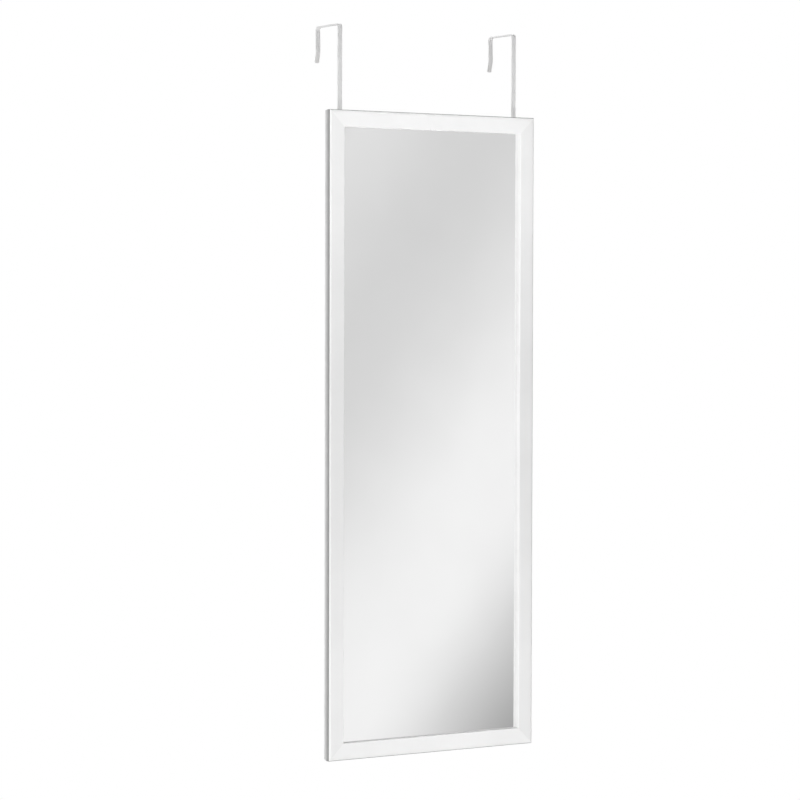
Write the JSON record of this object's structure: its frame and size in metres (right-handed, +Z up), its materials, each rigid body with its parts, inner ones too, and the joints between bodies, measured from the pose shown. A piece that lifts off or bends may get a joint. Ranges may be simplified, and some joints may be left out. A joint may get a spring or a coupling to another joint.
{
  "type": "over the door mirror",
  "caption": "Tall plain mirror in a mitred white frame, hung over a door on two bent flat steel hooks with slotted, height-adjustable legs.",
  "frame": {"origin": "on the door's top front edge, midway between the two hooks: the door's top is z = 0 and its front is y = 0", "axes": "+X to the right seen from the front, +Y back over the door (the mirror faces -Y), +Z up"},
  "size_m": [0.406, 0.0935, 1.209],
  "materials": {
    "frame_white": "satin white moulding",
    "mirror_silver": "silvered float glass",
    "packing_board": "plain grey-brown card",
    "hardboard": "raw tempered hardboard",
    "nail_steel": "bright steel strip",
    "point_steel": "thin bright steel tab",
    "bumper_rubber": "soft grey rubber",
    "hook_paint": "white powder coat",
    "screw_zinc": "bright zinc plate"
  },
  "bodies": {
    "panel": {"left_stile": "frame_white", "right_stile": "frame_white", "top_rail": "frame_white", "bottom_rail": "frame_white", "corner_nails": "nail_steel", "mirror_glass": "mirror_silver", "packing_sheet": "packing_board", "backing_board": "hardboard", "back_points_left": "point_steel", "back_points_right": "point_steel", "back_points_top": "point_steel", "back_points_bottom": "point_steel", "bumper_left": "bumper_rubber", "bumper_right": "bumper_rubber", "hook_screws_left": "screw_zinc", "hook_screws_right": "screw_zinc", "hook_washers_left": "screw_zinc", "hook_washers_right": "screw_zinc"},
    "hook_left": {"hook_left": "hook_paint"},
    "hook_right": {"hook_right": "hook_paint"}
  },
  "joints": [
    {"name": "hook_left_height", "type": "slide", "parent": "panel", "child": "hook_left", "axis": [0, 0, 1], "range_m": [0, 0.045]},
    {"name": "hook_right_height", "type": "slide", "parent": "panel", "child": "hook_right", "axis": [0, 0, 1], "range_m": [0, 0.045]}
  ]
}
